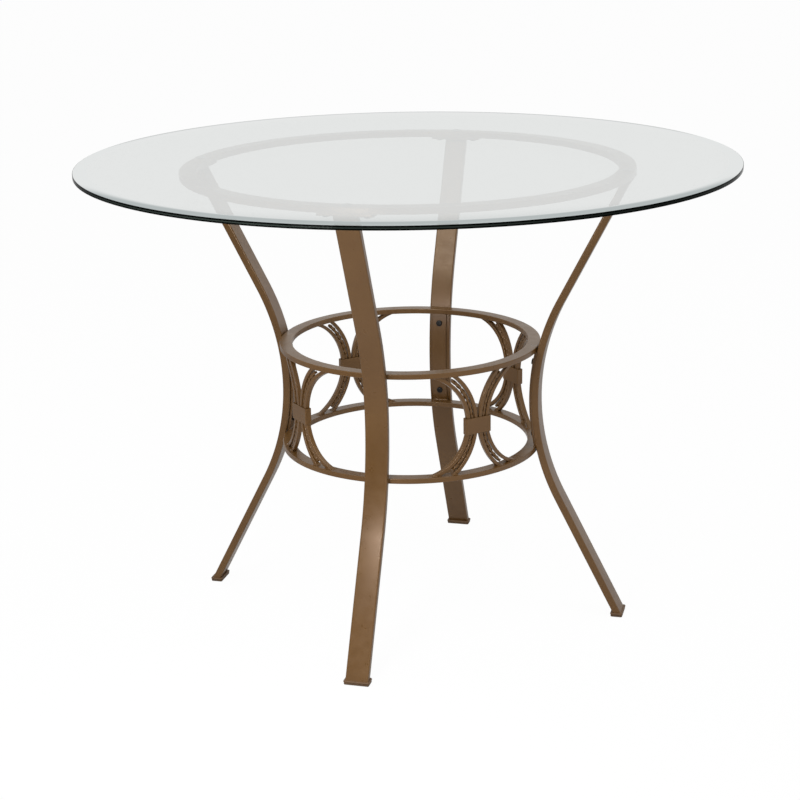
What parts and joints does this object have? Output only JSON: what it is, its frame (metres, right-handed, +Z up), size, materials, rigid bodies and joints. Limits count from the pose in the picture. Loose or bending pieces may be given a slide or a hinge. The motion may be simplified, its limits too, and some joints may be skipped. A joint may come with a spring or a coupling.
{
  "type": "round dining table",
  "caption": "Round dining table: bevelled clear glass on a bronze metal ring and bent legs, tied at the waist by a ringed basket of crescent bars.",
  "frame": {"origin": "on the floor under the middle of the table", "axes": "+Z up through the middle of the glass, -Y the front leg, +X the right leg"},
  "size_m": [1.0667, 1.0668, 0.762],
  "materials": {
    "clear_glass": "polished clear float glass with a wide bevel and a dark green edge",
    "clear_pad": "soft clear bumper pad",
    "bronze_frame": "satin bronze powder coat on steel",
    "black_bolt": "black oxide on steel",
    "zinc_nut": "zinc plate on steel",
    "brown_foot": "moulded bronze-brown plastic",
    "brown_glide": "moulded dark brown plastic"
  },
  "bodies": {
    "base": {"top_ring": "bronze_frame", "upper_basket_ring": "bronze_frame", "lower_basket_ring": "bronze_frame", "glass_pads": "clear_pad", "strap_bolts": "black_bolt", "plate_bolts": "black_bolt", "strap_nuts": "zinc_nut", "plate_nuts": "zinc_nut", "leg_front": "bronze_frame", "leg_plate_front": "bronze_frame", "strap_front": "bronze_frame", "foot_cap_front": "brown_foot", "foot_glide_front": "brown_glide", "leg_right": "bronze_frame", "leg_plate_right": "bronze_frame", "strap_right": "bronze_frame", "foot_cap_right": "brown_foot", "foot_glide_right": "brown_glide", "leg_back": "bronze_frame", "leg_plate_back": "bronze_frame", "strap_back": "bronze_frame", "foot_cap_back": "brown_foot", "foot_glide_back": "brown_glide", "leg_left": "bronze_frame", "leg_plate_left": "bronze_frame", "strap_left": "bronze_frame", "foot_cap_left": "brown_foot", "foot_glide_left": "brown_glide", "front_right_collar": "bronze_frame", "front_right_crescent_a_inner_bar": "bronze_frame", "front_right_crescent_a_outer_bar": "bronze_frame", "front_right_crescent_a_twist": "bronze_frame", "front_right_crescent_b_inner_bar": "bronze_frame", "front_right_crescent_b_outer_bar": "bronze_frame", "front_right_crescent_b_twist": "bronze_frame", "back_right_collar": "bronze_frame", "back_right_crescent_a_inner_bar": "bronze_frame", "back_right_crescent_a_outer_bar": "bronze_frame", "back_right_crescent_a_twist": "bronze_frame", "back_right_crescent_b_inner_bar": "bronze_frame", "back_right_crescent_b_outer_bar": "bronze_frame", "back_right_crescent_b_twist": "bronze_frame", "back_left_collar": "bronze_frame", "back_left_crescent_a_inner_bar": "bronze_frame", "back_left_crescent_a_outer_bar": "bronze_frame", "back_left_crescent_a_twist": "bronze_frame", "back_left_crescent_b_inner_bar": "bronze_frame", "back_left_crescent_b_outer_bar": "bronze_frame", "back_left_crescent_b_twist": "bronze_frame", "front_left_collar": "bronze_frame", "front_left_crescent_a_inner_bar": "bronze_frame", "front_left_crescent_a_outer_bar": "bronze_frame", "front_left_crescent_a_twist": "bronze_frame", "front_left_crescent_b_inner_bar": "bronze_frame", "front_left_crescent_b_outer_bar": "bronze_frame", "front_left_crescent_b_twist": "bronze_frame"},
    "glass": {"glass_top": "clear_glass"}
  },
  "joints": [
    {"name": "glass_lift", "type": "slide", "parent": "base", "child": "glass", "axis": [0, 0, 1], "range_m": [0, 0.15]}
  ]
}
